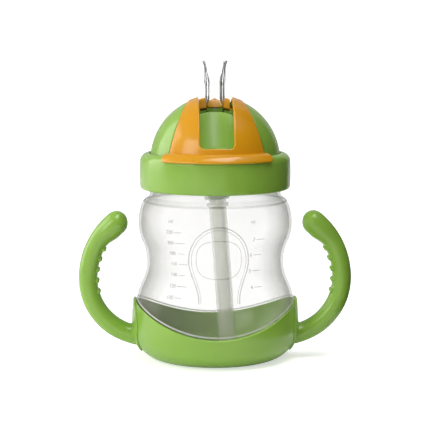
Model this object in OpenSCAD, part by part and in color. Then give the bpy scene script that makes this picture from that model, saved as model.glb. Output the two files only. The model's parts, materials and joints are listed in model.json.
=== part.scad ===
// Two-handled straw cup: waisted bottle in a scalloped base cup, screw collar, domed lid
// with a front cover, and a rotary shutter that folds the soft spout away.
// +Z is up, the drinker's side faces -Y, and the origin is the centre of the foot.

/* [Bottle] */
// Height of the bottle's mouth above the table
bottle_h = 95; // [94.5:0.5:95]
// Radius of the lower belly
belly_r = 38.7; // [38.3:0.1:38.7]
// Radius of the waist
waist_r = 33.1; // [32:0.1:34]
// Radius of the upper bulge
bulge_r = 37.2; // [36:0.1:38]
// Wall thickness
bottle_wall = 1.3; // [1:0.1:1.6]
// Outer radius of the neck under the thread
neck_r = 30.9; // [30.7:0.1:31]

/* [Base cup] */
// Outer radius of the base cup
base_r = 39.9; // [39.9:0.1:40.4]
// Height of the rim at the front and the back
rim_low = 15.5; // [13:0.5:18]
// Radius of the scallop that cuts the rim
scallop_r = 63.4; // [60:0.2:70]

/* [Handles] */
// Half thickness of the bar
bar_r = 4.65; // [4:0.05:5.2]
// Radius of the knob at the tip
knob_r = 5.8; // [5.2:0.1:6.4]
// Half width of the bar from front to back
bar_depth = 5.5; // [4.8:0.1:6.5]
// Radius of the grip nubs
nub_r = 1.25; // [0.8:0.05:1.5]

/* [Collar and thread] */
// Outer radius of the collar
collar_r = 36.4; // [36.2:0.1:36.8]
// Height of the collar's lower edge
collar_low = 83; // [82.5:0.5:84]
// Rise of the thread in one turn
pitch = 4; // [3.6:0.1:4.4]

/* [Lid] */
// Height of the dome's centre
dome_z = 96.4; // [96.4:0.1:96.4]
// Outer radius of the dome
dome_r = 31.4; // [31.3:0.1:31.5]
// Outer radius of the front cover
cover_r = 31.9; // [31.8:0.1:32.1]
// Half width of the window
window_w = 8.2; // [7.8:0.1:8.3]
// Angle from the top down to the window's lower edge
window_low = 75; // [73:1:76]

/* [Straw] */
// Distance of the spout's axis behind the dome's centre
spout_y = 3.2; // [3:0.1:3.3]
// Outer radius of the spout
spout_r = 4.9; // [4.6:0.1:5]
// Bore radius of the spout
spout_bore = 3.5; // [3:0.1:3.7]
// Height of the mouth above the table
spout_top = 144.5; // [140:0.5:146]
// Outer radius of the dip tube
tube_r = 4.2; // [3.9:0.1:4.2]
// Lean of the dip tube towards +X
tube_lean = 4.2; // [0:0.1:4.5]

/* [Hidden] */
$fn = 96;
green = [0.62, 0.77, 0.42];
orange = [0.89, 0.66, 0.14];
clear = [0.93, 0.93, 0.9, 0.5];
silicone = [0.9, 0.9, 0.88, 0.6];

// Bottle outline: arcs that meet in tangents, each given by its centre [r, z] and radius.
foot_z = 2;
corner_rho = 12;
belly_z = 24;
waist_z = 48;
waist_rho = 22;
bulge_z = 66.4;
cap_rho = 30;
cap_a = 15;
shoulder_rho = 9;
shoulder_a = 60;
neck_low = 82;
neck_wall = 1.4;
floor_wall = 1.5;
cup_gap = 0.25;
function joined_rho(h, d) = (h * h + d * d) / (2 * d) - waist_rho;
belly_rho = joined_rho(waist_z - belly_z, belly_r - waist_r);
bulge_rho = joined_rho(bulge_z - waist_z, bulge_r - waist_r);
waist_c = [waist_r + waist_rho, waist_z];
belly_c = [belly_r - belly_rho, belly_z];
bulge_c = [bulge_r - bulge_rho, bulge_z];
cap_c = [bulge_r - cap_rho, bulge_z];
shoulder_c = cap_c + (cap_rho - shoulder_rho) * [cos(cap_a), sin(cap_a)];
corner_a = asin((belly_z - foot_z - corner_rho) / (belly_rho - corner_rho));
corner_c = belly_c + (belly_rho - corner_rho) * [cos(corner_a), -sin(corner_a)];
low_a = atan2(waist_z - belly_z, waist_c[0] - belly_c[0]);
high_a = atan2(bulge_z - waist_z, waist_c[0] - bulge_c[0]);

// Base cup
base_rho = 15;
base_top = 31;
side_rho = 130;

// Handle path, in the XZ plane: a lower and an upper arc that share their leftmost point
path_z = 39.2;
lower_rho = 28.2;
upper_rho = 36.5;
path_x = -61.7;
root_a = 263;
tip_a = 130;
swell_a = 152;
shield_t = 0.8;
shield_w = 13.9;
nub_a0 = 153;
nub_step = 9.5;
nub_side = 2.2;

// Collar, thread and the stack of rims that it clamps
collar_high = 100.5;
collar_bore = 32.5;
collar_lip_r = 31.8;
flange_bore = 33.8;
thread_turns = 1.15;
thread_z = 86.6;
thread_h = 1.2;
plate_z = 87;
plate_wall_r = 29.2;
flange_r = 33.3;
seal_z = 95.05;
plate_flange_z = 96.6;
dome_flange_z = 97.8;
dome_flange_top = 99.2;

// Lid, in angles about the X axis through the dome's centre: 0 is up, positive is forward
dome_in = 28.6;
recess_r = 30.2;
cover_in = 30.25;
cover_back = -23;
shutter_out = 27.7;
shutter_in = 26.6;
shutter_w = 10.1;
shutter_back = -105;
shutter_front = -18.9;
ridge_r = 32.1;
ridge_w = 7.5;
ridge_a = [-22.5, shutter_front];
cheek_w = 1.4;
pin_r = 2.2;
hub_r = 4.2;
running = 0.07;
tower_w = 8.4;
tower_top = 23.2;
tower_r = 26.2;
ledge_z = 7.4;
trough_rho = 10;
trough_tilt = 43.2;
pocket_w = 7.2;
pocket_y = [-2.6, 8.5];
fold_1 = dome_z + 18;
fold_2 = dome_z + 26;

function arc(c, r, a0, a1, n = 8) = [
    for (i = [0:n])
        let (a = a0 + (a1 - a0) * i / n) c + r * [cos(a), sin(a)]
];

function reversed(list) = [for (i = [len(list) - 1:-1:0]) list[i]];

// The bottle's side from the foot to the shoulder, moved inwards by o.
function bottle_side(o) = concat(
    arc(corner_c, corner_rho - o, -90, -corner_a),
    arc(belly_c, belly_rho - o, -corner_a + 5, low_a),
    arc(waist_c, waist_rho + o, 180 + low_a - 5, 180 - high_a),
    arc(bulge_c, bulge_rho - o, -high_a + 5, 0, 5),
    arc(cap_c, cap_rho - o, 5, cap_a, 2),
    arc(shoulder_c, shoulder_rho - o, cap_a + 7, shoulder_a, 5)
);

// The base cup's outside, moved outwards by o, up to the height base_top.
function cup_side(o) = concat(
    arc([base_r - base_rho, base_rho], base_rho + o, -90, 0, 12),
    [for (z = [20:5:base_top]) [base_r + o - pow(z - base_rho, 2) / (2 * side_rho), z]]
);

// A thread of one start, on a wall of radius r, that stands out by h (inwards if h < 0).
module thread(r, h, z0) {
    steps = round(40 * thread_turns);
    root = -sign(h) * 0.5;
    function ring(i) =
        let (
            a = 360 * thread_turns * i / steps,
            out = h * min(1, i / 4, (steps - i) / 4) + 0.001 * sign(h),
            z = z0 + pitch * a / 360
        )
        [for (p = [[root, -0.9], [out, -0.45], [out, 0.45], [root, 0.9]])
            [(r + p[0]) * cos(a), (r + p[0]) * sin(a), z + p[1]]];
    turn = sign(h) > 0 ? [3, 2, 1, 0] : [0, 1, 2, 3];
    polyhedron(
        points = [for (i = [0:steps]) each ring(i)],
        faces = concat(
            [turn],
            [for (i = [0:steps - 1], k = [0:3])
                let (m = 4 * i, p = turn[k], q = turn[(k + 1) % 4])
                [m + q, m + p, m + p + 4, m + q + 4]],
            [[for (p = reversed(turn)) 4 * steps + p]]
        )
    );
}

// A wedge between two angles about the X axis, as wide as 2 * w.
module sector(a0, a1, w) {
    reach = 60;
    rotate([90, 0, 90])
        linear_extrude(height = 2 * w, center = true)
            polygon(concat([[0, 0]], [for (i = [0:3])
                let (a = a0 + (a1 - a0) * i / 3) reach * [-sin(a), cos(a)]]));
}

// Turns its children so that their +Z points out of the dome at angle a.
module at_angle(a) rotate([a, 0, 0]) children();

// The window through the front of the dome.
module window_cut(grow, back) sector(back, window_low + grow, window_w + grow);

// Everything between the front cover's two slanting sides and in front of its back edge.
module cover_wedge(grow) {
    side_lift = 13.5;
    side_turn = 10.1;
    side_d = 19.15 + grow;
    intersection() {
        sector(cover_back - grow, 120, 60);
        intersection_for (m = [0, 1])
            mirror([m, 0, 0])
                rotate([0, -side_lift, side_turn])
                    translate([side_d - 120, -60, -60])
                        cube([120, 120, 120]);
    }
}

module base_cup() {
    color(green)
        difference() {
            rotate_extrude()
                polygon(concat(
                    [[0, 0]], cup_side(0),
                    reversed([for (p = bottle_side(-cup_gap)) if (p[1] < base_top) p]),
                    [[0, foot_z - cup_gap]]
                ));
            translate([0, 0, rim_low + scallop_r])
                rotate([90, 0, 0])
                    cylinder(r = scallop_r, h = 100, center = true);
        }
}

// The shield-shaped plate on the cup's side that the handle grows from.
module shield() {
    intersection() {
        difference() {
            rotate_extrude() polygon(concat([[0, -shield_t]], cup_side(shield_t), [[0, base_top - 1]]));
            rotate_extrude() polygon(concat([[0, -0.02]], cup_side(0.02), [[0, base_top]]));
        }
        translate([-60, 0, 0])
            rotate([90, 0, 90])
                linear_extrude(height = 50)
                    polygon(concat(
                        arc([0, 12], 8, 240, 300, 3), [[shield_w, 12], [shield_w - 1, 20]],
                        arc([0, 21], 8, 25, 155, 8), [[1 - shield_w, 20], [-shield_w, 12]]
                    ));
    }
}

// One ring of the bar's section, at angle a on its arc.
function bar_ring(c, rho, a, r, depth, sides = 20) = [
    for (k = [0:sides - 1])
        let (t = 360 * k / sides, d = rho - r * cos(t))
        [c[0] + d * cos(a), depth * sin(t), c[1] + d * sin(a)]
];

module bar() {
    sides = 20;
    lower_c = [path_x + lower_rho, path_z];
    upper_c = [path_x + upper_rho, path_z];
    function swell(a) = let (u = min(1, (swell_a - a) / 16)) a > swell_a ? 0 : u * u * (3 - 2 * u);
    function bar_at(a) = bar_r + (knob_r - bar_r) * swell(a);
    end_rho = upper_rho + bar_r - knob_r;
    rings = concat(
        [for (i = [0:14]) let (a = root_a - (root_a - 180) * i / 14)
            bar_ring(lower_c, lower_rho, a, bar_r, bar_depth)],
        [for (i = [1:14]) let (a = 180 - (180 - tip_a) * i / 14)
            bar_ring(upper_c, upper_rho + bar_r - bar_at(a), a, bar_at(a), bar_depth * bar_at(a) / bar_r * 0.98)],
        [for (u = [15:15:75]) let (a = tip_a - asin(knob_r * sin(u) / end_rho))
            bar_ring(upper_c, end_rho, a, knob_r * cos(u), knob_r * 1.12 * cos(u))]
    );
    n = len(rings);
    polyhedron(
        points = [for (ring = rings) each ring],
        faces = concat(
            [[for (k = [0:sides - 1]) k]],
            [for (i = [0:n - 2], k = [0:sides - 1])
                let (j = (k + 1) % sides)
                each [
                    [i * sides + j, i * sides + k, (i + 1) * sides + j],
                    [i * sides + k, (i + 1) * sides + k, (i + 1) * sides + j]
                ]],
            [[for (k = [sides - 1:-1:0]) (n - 1) * sides + k]]
        )
    );
}

// The left handle: shield, bar with a knob, and two rows of nubs on the inside of the grip.
module handle() {
    color(green)
        union() {
            shield();
            difference() {
                bar();
                rotate_extrude() polygon(concat([[0, -0.02]], cup_side(0.02), [[0, base_top]]));
            }
            for (k = [0:4], s = [-1, 1])
                let (a = nub_a0 + nub_step * k, d = upper_rho - bar_r * 0.92)
                translate([path_x + upper_rho + d * cos(a), s * nub_side, path_z + d * sin(a)])
                    sphere(r = nub_r, $fn = 24);
        }
}

module handle_left() handle();

module handle_right() mirror([1, 0, 0]) handle();

module bottle() {
    bore = neck_r - neck_wall;
    color(clear)
        union() {
            rotate_extrude()
                polygon(concat(
                    [[0, foot_z]], bottle_side(0),
                    [[neck_r, neck_low], [neck_r, bottle_h], [bore, bottle_h], [bore, neck_low - 1]],
                    reversed(bottle_side(bottle_wall)),
                    [[0, foot_z + floor_wall]]
                ));
            thread(neck_r, thread_h, thread_z);
        }
}

module screw_collar() {
    shoulder = 4;
    edge = 2;
    color(green)
        union() {
            rotate_extrude()
                polygon(concat(
                    [[collar_bore, collar_low]],
                    arc([collar_r - edge, collar_low + edge], edge, -90, 0, 5),
                    arc([collar_r - shoulder, collar_high - shoulder], shoulder, 0, 90, 8),
                    [[collar_lip_r, collar_high], [collar_lip_r, dome_flange_top + 0.3],
                     [flange_bore, dome_flange_top + 0.3], [flange_bore, bottle_h + 0.5],
                     [collar_bore, bottle_h + 0.5]]
                ));
            thread(collar_bore, -thread_h, thread_z - pitch / 2);
        }
}

// The raised block inside the dome: the trough that the spout folds into, the well that it
// stands in, and the two pins that the shutter turns on.
module tower() {
    difference() {
        union() {
            intersection() {
                union() {
                    translate([-tower_w, -27, -6]) cube([2 * tower_w, 37.2, 6 + tower_top]);
                    translate([-tower_w, pocket_y[1], 0]) cube([2 * tower_w, 1.7, 26]);
                }
                sphere(r = tower_r);
            }
            intersection() {
                translate([-tower_w, -29.5, 1.6]) cube([2 * tower_w, 8, ledge_z - 1.6]);
                sphere(r = dome_in + 0.6);
            }
        }
        intersection() {
            translate([0, -3, tower_top])
                rotate([90 + trough_tilt, 0, 0])
                    translate([0, trough_rho, -30])
                        cylinder(r = trough_rho, h = 70);
            translate([-20, -40, ledge_z]) cube([40, 43, 40]);
        }
        translate([-pocket_w, pocket_y[0], 8]) cube([2 * pocket_w, pocket_y[1] - pocket_y[0], 30]);
        translate([0, spout_y, -10]) cylinder(r = spout_r + 0.4, h = 30);
    }
    for (s = [-1, 1])
        translate([s * (tower_w - 0.5), 0, 0])
            rotate([0, s * 90, 0]) {
                cylinder(r = pin_r, h = 0.5 + shutter_w - tower_w + 0.4);
                translate([0, 0, 0.5 + shutter_w - tower_w + 0.25]) cylinder(r = pin_r + 0.9, h = 0.9);
            }
}

module dome_lid() {
    color(green)
        translate([0, 0, dome_z]) {
            difference() {
                sphere(r = dome_r);
                sphere(r = dome_in);
                translate([-50, -50, -100 + dome_flange_z - dome_z]) cube([100, 100, 100]);
                difference() {
                    cover_wedge(0.15);
                    sphere(r = recess_r);
                }
                window_cut(0.3, cover_back);
            }
            difference() {
                translate([0, 0, dome_flange_z - dome_z])
                    cylinder(r = flange_r, h = dome_flange_top - dome_flange_z);
                sphere(r = dome_in);
            }
            tower();
        }
}

module front_cover() {
    lip_c = [collar_r - 4, collar_high - dome_z - 4];
    lip_a = 46;
    color(orange)
        translate([0, 0, dome_z])
            union() {
                difference() {
                    intersection() {
                        sphere(r = cover_r);
                        cover_wedge(0);
                    }
                    sphere(r = cover_in);
                    translate([-50, -50, -100 + 4.6]) cube([100, 100, 100]);
                    window_cut(0, cover_back - 9);
                }
                rotate([0, 0, -90 - lip_a])
                    rotate_extrude(angle = 2 * lip_a)
                        polygon(concat(
                            [[cover_in + 0.05, 4.5]], reversed(arc(lip_c, 4.4, 12, 90, 6)),
                            [[lip_c[0] + 4.7, lip_c[1] + 0.7], [lip_c[0] + 5.2, lip_c[1] + 0.8]],
                            arc(lip_c, 5.5, 12, 90, 6), [[cover_in + 0.05, 5.6]]
                        ));
            }
}

module slide_shutter() {
    spoke = 8;
    spoke_l = sqrt(pow(shutter_out - 0.8, 2) - pow(shutter_w, 2));
    color(orange)
        translate([0, 0, dome_z]) {
            intersection() {
                difference() {
                    sphere(r = shutter_out);
                    sphere(r = shutter_in);
                }
                sector(shutter_back, shutter_front, shutter_w);
            }
            difference() {
                intersection() {
                    sphere(r = ridge_r);
                    sector(ridge_a[0], ridge_a[1], ridge_w);
                }
                sphere(r = shutter_out - 0.5);
            }
            for (s = [-1, 1])
                translate([s * (shutter_w - cheek_w / 2), 0, 0])
                    rotate([90, 0, 90])
                        linear_extrude(height = cheek_w, center = true)
                            difference() {
                                union() {
                                    circle(r = hub_r);
                                    rotate(32) translate([0, -spoke / 2]) square([spoke_l, spoke]);
                                }
                                circle(r = pin_r + running);
                            }
        }
}

module inner_plate() {
    spigot_r = 3.7;
    spigot_bore = 2.6;
    boss_r = 7.3;
    vent_r = 2;
    color([0.72, 0.83, 0.55])
        difference() {
            union() {
                rotate_extrude()
                    polygon([
                        [0, plate_z], [plate_wall_r, plate_z], [plate_wall_r, plate_flange_z],
                        [flange_r, plate_flange_z], [flange_r, dome_flange_z], [plate_wall_r - 1.1, dome_flange_z],
                        [plate_wall_r - 1.1, plate_z + 1.2], [0, plate_z + 1.2]
                    ]);
                translate([0, spout_y, plate_z]) cylinder(r = boss_r, h = 3.1);
                translate([0, spout_y, plate_z - 4.5]) cylinder(r = spigot_r, h = 5);
            }
            translate([0, spout_y, plate_z + 1.2]) cylinder(r = spout_r + 0.02, h = 5);
            translate([0, spout_y, plate_z - 10]) cylinder(r = spigot_bore, h = 20);
            translate([-15, -9, plate_z - 1]) cylinder(r = vent_r, h = 5);
        }
}

module seal_ring() {
    color([0.85, 0.85, 0.83])
        rotate_extrude()
            translate([neck_r - neck_wall - 0.1, seal_z])
                square([2, plate_flange_z - seal_z]);
}

module vent_valve() {
    color(silicone)
        translate([-15, -9, plate_z])
            difference() {
                union() {
                    translate([0, 0, -0.9]) cylinder(r = 3, h = 0.9);
                    translate([0, 0, -2.6]) cylinder(r = 1.95, h = 4.4);
                    translate([0, 0, 1.22]) cylinder(r = 2.8, h = 0.8);
                }
                translate([0, 0, -1.8]) cylinder(r = 1.1, h = 5);
            }
}

// A stretch of the spout from z0 to z1.
module spout_tube(z0, z1) {
    translate([0, spout_y, z0])
        difference() {
            cylinder(r = spout_r, h = z1 - z0);
            translate([0, 0, -1]) cylinder(r = spout_bore, h = z1 - z0 + 2);
        }
}

module spout_base() color(silicone) spout_tube(plate_z + 1.25, fold_1);

module spout_neck() color(silicone) spout_tube(fold_1, fold_2);

// The mouth end: a plain tube, a step, and a bore and lip that widen upwards.
module spout_mouth() {
    step_z = 133.5;
    lip_r = 6.1;
    mouth_bore = 5.1;
    color(silicone)
        translate([0, spout_y, 0])
            rotate_extrude()
                polygon([
                    [spout_bore, fold_2], [spout_r, fold_2], [spout_r, step_z - 0.4], [spout_r + 0.35, step_z + 0.2],
                    [spout_r + 0.35, spout_top - 3], [lip_r, spout_top - 0.8], [lip_r, spout_top - 0.3],
                    [lip_r - 0.4, spout_top], [mouth_bore, spout_top - 0.2], [spout_bore + 0.3, spout_top - 7],
                    [spout_bore, step_z]
                ]);
}

// Leans its children about the point where the dip tube hangs from the lid.
module hung() {
    translate([0, spout_y, plate_z + 5])
        rotate([0, -tube_lean, 0])
            children();
}

module straw_connector() {
    sleeve_r = 6.15;
    color([0.82, 0.86, 0.78])
        hung()
            rotate_extrude()
                polygon([
                    [4.5, -5.8], [sleeve_r, -5.8], [sleeve_r, -14.1], [sleeve_r - 0.3, -14.4],
                    [tube_r + 0.02, -14.4], [tube_r + 0.02, -10], [4.5, -9.8]
                ]);
}

module dip_tube() {
    bore = tube_r - 1.1;
    length = 85.8;
    color([0.86, 0.85, 0.8])
        hung()
            rotate_extrude()
                polygon([
                    [bore, -10.4], [tube_r, -10.4], [tube_r, -16.6], [5.4, -16.9], [5.4, -18], [tube_r, -18.4],
                    [tube_r, -length], [bore, -length]
                ]);
}

base_cup();
handle_left();
handle_right();
bottle();
screw_collar();
dome_lid();
front_cover();
slide_shutter();
inner_plate();
seal_ring();
vent_valve();
spout_base();
spout_neck();
spout_mouth();
straw_connector();
dip_tube();
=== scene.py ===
"""Looks of the two-handled straw cup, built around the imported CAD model.

Shapes are worked out in millimetres in the CAD's row frame (+Z up, the window faces -Y)
and turned into metres when a mesh is made.
"""

import json
import math

import bmesh
import bpy
import numpy as np
from mathutils import Matrix, Vector
from mathutils.geometry import delaunay_2d_cdt


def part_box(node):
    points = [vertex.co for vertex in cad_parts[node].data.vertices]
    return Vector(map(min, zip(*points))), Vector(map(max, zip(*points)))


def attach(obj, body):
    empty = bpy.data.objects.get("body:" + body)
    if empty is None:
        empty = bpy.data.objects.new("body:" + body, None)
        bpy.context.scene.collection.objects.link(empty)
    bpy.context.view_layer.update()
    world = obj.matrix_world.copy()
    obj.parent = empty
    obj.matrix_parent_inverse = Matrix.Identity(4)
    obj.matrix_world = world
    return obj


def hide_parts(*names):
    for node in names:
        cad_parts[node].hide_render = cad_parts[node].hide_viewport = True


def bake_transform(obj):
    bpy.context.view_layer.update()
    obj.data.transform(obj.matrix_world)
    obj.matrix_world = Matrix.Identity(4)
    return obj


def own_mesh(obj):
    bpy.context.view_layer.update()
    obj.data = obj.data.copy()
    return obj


MM = 0.001

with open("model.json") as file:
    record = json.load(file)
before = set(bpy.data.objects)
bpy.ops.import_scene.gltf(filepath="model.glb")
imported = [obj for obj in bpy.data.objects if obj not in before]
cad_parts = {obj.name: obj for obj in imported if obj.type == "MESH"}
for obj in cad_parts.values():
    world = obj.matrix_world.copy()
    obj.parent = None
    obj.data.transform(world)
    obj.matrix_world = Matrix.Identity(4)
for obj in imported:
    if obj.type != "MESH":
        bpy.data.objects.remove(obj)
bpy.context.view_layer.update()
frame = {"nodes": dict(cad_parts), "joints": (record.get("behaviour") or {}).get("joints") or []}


# ---- dimensions, in millimetres


def cosd(a):
    return math.cos(math.radians(a))


def sind(a):
    return math.sin(math.radians(a))


def span(node):
    """The lowest and highest corner of a CAD node, in millimetres."""
    low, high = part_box(node)
    return low / MM, high / MM


def joint_place(name):
    """The point that a hinge turns about, in millimetres."""
    found = [j for j in frame["joints"] if j["name"] == name]
    return Vector(found[0]["pos_m"]) / MM


bottle_low, bottle_high = span("bottle")
collar_low, collar_high = span("screw_collar")
spout_low, spout_high = span("spout_base")
cup_high = span("base_cup")[1]
mouth_high = span("spout_mouth")[1]
ridge_high = span("slide_shutter")[1]

# Bottle: its side is a chain of arcs that meet in tangents; RHO is an arc's own radius.
FOOT_Z = bottle_low.z
FOOT_R = 24
MOUTH_Z = bottle_high.z
BELLY_R = bottle_high.x
WAIST_R = BELLY_R - 5.6
BULGE_R = BELLY_R - 1.5
NECK_R = BELLY_R - 7.8
BELLY_Z = 24
WAIST_Z = 48
BULGE_Z = 66.4
NECK_Z = 82
CORNER_RHO = 12
WAIST_RHO = 22
CAP_RHO = 30
CAP_A = 15
SHOULDER_RHO = 9
SHOULDER_A = 60
WALL = 1.3
NECK_WALL = 1.4
FLOOR_WALL = 1.5
CUP_GAP = 0.25

# Base cup
BASE_R = cup_high.x
BASE_RHO = 15
SIDE_RHO = 130
RIM_LOW = 15.5
SCALLOP_R = 63.4
BASE_TOP = cup_high.z

# Handles, in the XZ plane of the left one
PATH_X = -61.7
PATH_Z = 39.2
LOWER_RHO = 28.2
UPPER_RHO = 36.5
ROOT_A = 263
TIP_A = 130
SWELL_A = 152
BAR_R = 4.65
BAR_DEPTH = 5.5
KNOB_R = 5.8
NUB_R = 1.25
NUB_A = 153
NUB_STEP = 9.5
NUB_Y = 2.3
SHIELD_W = 13.9
SHIELD_T = 0.8

# Collar and thread
COLLAR_R = collar_high.x
COLLAR_LOW = collar_low.z
COLLAR_HIGH = collar_high.z
COLLAR_SHOULDER = 4
COLLAR_BORE = 32.5
LIP_R = 31.8
PITCH = 4
THREAD_Z = 86.6
THREAD_H = 1.2
THREAD_TURNS = 1.15

# Lid: everything is measured from the point that the shutter turns about.
DOME_Z = joint_place("shutter_turn").z
DOME_C = Vector((0, 0, DOME_Z))
DOME_R = 31.4
FLANGE_R = 33.3
RECESS_R = 30.2
DOME_IN = 28.6
COVER_R = 31.9
COVER_IN = 30.25
COVER_BACK = -23
SIDE_D = 19.15
SIDE_LIFT = 13.5
SIDE_TURN = 10.1
SIDE_N = Vector((cosd(SIDE_LIFT) * cosd(SIDE_TURN), cosd(SIDE_LIFT) * sind(SIDE_TURN), sind(SIDE_LIFT)))
WINDOW_W = 8.2
WINDOW_LOW = 75
SHUTTER_IN = 26.6
SHUTTER_OUT = 27.7
SHUTTER_W = 10.1
SHUTTER_BACK = -105
SHUTTER_FRONT = -18.9
RIDGE_BACK = -22.5
RIDGE_R = (ridge_high.z - DOME_Z) / cosd(SHUTTER_FRONT)
TOWER_W = 8.4
TOWER_TOP = 23.2
TOWER_R = 26.2
LEDGE_Z = 7.4
TROUGH_RHO = 10
TROUGH_TILT = 43.2
POCKET_W = 7.2
POCKET_FRONT = -2.6
POCKET_BACK = 8.5

# Straw
SPOUT_Y = (spout_low.y + spout_high.y) / 2
SPOUT_R = spout_high.x
SPOUT_BORE = 3.5
SPOUT_TOP = mouth_high.z
STEP_Z = SPOUT_TOP - 11
FOLD_LOW = joint_place("spout_bend_low").z
FOLD_HIGH = joint_place("spout_bend_high").z
FOLD_REACH = 4.6
HUNG_Z = 92
TUBE_LEAN = 4.2
TUBE_R = 4.2
SLEEVE_R = 6.15


# ---- outlines and meshes


def arc(centre, rho, a0, a1, n=8):
    """Points on an arc from angle a0 to a1, in degrees."""
    angles = [a0 + (a1 - a0) * i / n for i in range(n + 1)]
    return [(centre[0] + rho * cosd(a), centre[1] + rho * sind(a)) for a in angles]


def ease(t):
    """Rises smoothly from 0 to 1 as t does."""
    t = min(1, max(0, t))
    return t * t * (3 - 2 * t)


def corner_curve(a, corner, b, pull, n):
    """n + 1 points on a curve from a to b, drawn towards the corner between them."""
    c1 = a.lerp(corner, pull)
    c2 = b.lerp(corner, pull)
    curve = []
    for t in np.linspace(0, 1, n + 1):
        curve.append(a * (1 - t) ** 3 + c1 * 3 * t * (1 - t) ** 2 + c2 * 3 * t * t * (1 - t) + b * t**3)
    return curve


def rounded(points, radii, n=6):
    """A closed polygon whose corners are rounded, always with n + 1 points to a corner."""
    out = []
    for i, (corner, radius) in enumerate(zip(points, radii)):
        p = Vector(corner)
        before = Vector(points[i - 1]) - p
        after = Vector(points[(i + 1) % len(points)]) - p
        half_turn = (math.pi - before.angle(after)) / 2
        cut = min(radius * math.tan(half_turn), 0.45 * before.length, 0.45 * after.length)
        a = p + before.normalized() * cut
        b = p + after.normalized() * cut
        pull = 4 / 3 * math.tan(half_turn / 2) / math.tan(half_turn) if half_turn > 1e-6 else 0.6
        out += [tuple(q) for q in corner_curve(a, p, b, pull, n)]
    return out


def trimmed(points, start, end):
    """A polyline with a length cut off each end."""
    p = [Vector(q) for q in points]
    reach = [0]
    for a, b in zip(p, p[1:]):
        reach.append(reach[-1] + (b - a).length)

    def at(s):
        for i in range(len(p) - 1):
            if s <= reach[i + 1]:
                return p[i].lerp(p[i + 1], (s - reach[i]) / max(reach[i + 1] - reach[i], 1e-9))
        return p[-1]

    last = reach[-1] - end
    inside = [q for q, s in zip(p, reach) if start + 1e-6 < s < last - 1e-6]
    return [at(start)] + inside + [at(last)]


def outline(stretches, cuts, n=6):
    """A closed outline from stretches that meet at corners; cuts[i] rounds the end of stretch i."""
    short = [trimmed(points, cuts[i - 1], cuts[i]) for i, points in enumerate(stretches)]
    loop = []
    for points, this, following in zip(stretches, short, short[1:] + short[:1]):
        loop += this[:-1] + corner_curve(this[-1], Vector(points[-1]), following[0], 0.55, n)[:-1]
    return [tuple(q) for q in loop]


def spaced(points, step):
    """A closed outline resampled at about even steps."""
    p = [Vector(q) for q in points] + [Vector(points[0])]
    reach = np.cumsum([0] + [(b - a).length for a, b in zip(p, p[1:])])
    n = max(8, round(reach[-1] / step))
    s = np.arange(n) * reach[-1] / n
    return list(zip(np.interp(s, reach, [q[0] for q in p]), np.interp(s, reach, [q[1] for q in p])))


def add_object(name, data):
    """A new object in the scene."""
    thing = bpy.data.objects.new(name, data)
    bpy.context.scene.collection.objects.link(thing)
    return thing


def shade(mesh, sharp=35):
    """Smooth shading with creases where faces meet at more than an angle."""
    mesh.shade_smooth()
    mesh.set_sharp_from_angle(angle=math.radians(sharp))


def make(name, part, material):
    """A mesh object from points in millimetres and faces."""
    mesh = bpy.data.meshes.new(name)
    mesh.from_pydata([Vector(v) * MM for v in part[0]], [], part[1])
    clean = bmesh.new()
    clean.from_mesh(mesh)
    bmesh.ops.remove_doubles(clean, verts=clean.verts, dist=1e-8)
    bmesh.ops.recalc_face_normals(clean, faces=clean.faces)
    clean.to_mesh(mesh)
    clean.free()
    shade(mesh)
    mesh.materials.append(material)
    return add_object(name, mesh)


def add_piece(name, part, material, body, slot, node=None):
    """A piece that rides on a body and may replace a CAD node; the slot is not used."""
    piece = make(name, part, material)
    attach(piece, body)
    if node:
        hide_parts(node)
    return piece


def add_clear(*details):
    """A piece that neither shades the pieces inside it nor catches the light between them."""
    piece = add_piece(*details)
    piece.visible_shadow = False
    piece.visible_diffuse = False
    return piece


def join(*parts):
    """One list of points and one of faces from several."""
    verts = []
    faces = []
    for v, f in parts:
        faces += [[i + len(verts) for i in face] for face in f]
        verts += list(v)
    return verts, faces


def moved(part, matrix):
    return [matrix @ Vector(v) for v in part[0]], part[1]


def band(low, high):
    """Faces between two closed rows of equal count; a row of one repeated point gives triangles."""
    n = len(low)
    faces = []
    for k in range(n):
        j = (k + 1) % n
        face = list(dict.fromkeys([low[k], low[j], high[j], high[k]]))
        if len(face) > 2:
            faces.append(face)
    return faces


def skin(rows):
    """Faces between each row of points and the next."""
    return [face for low, high in zip(rows, rows[1:]) for face in band(low, high)]


def lathe(profile, sides):
    """A profile of (r, z) turned about Z; it is closed unless both of its ends are on the axis."""
    verts = []
    rows = []
    for r, z in profile:
        if r < 1e-6:
            rows.append([len(verts)] * sides)
            verts.append((0, 0, z))
        else:
            rows.append(range(len(verts), len(verts) + sides))
            verts += [(r * cosd(360 * k / sides), r * sind(360 * k / sides), z) for k in range(sides)]
    if profile[0][0] > 1e-6 or profile[-1][0] > 1e-6:
        rows.append(rows[0])
    return verts, skin(rows)


def loft(rings):
    """A closed solid through rings of equal count, with a flat face on each end."""
    n = len(rings[0])
    rows = [range(i * n, i * n + n) for i in range(len(rings))]
    return [v for ring in rings for v in ring], [rows[0][::-1]] + skin(rows) + [rows[-1]]


def left_normals(points, closed):
    """Unit normals that point to the left along a line of points."""
    p = np.array(points, float)
    along = np.roll(p, -1, 0) - np.roll(p, 1, 0) if closed else np.gradient(p, axis=0)
    along /= np.maximum(np.linalg.norm(along, axis=1, keepdims=True), 1e-9)
    return np.stack([-along[:, 1], along[:, 0]], 1)


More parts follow.
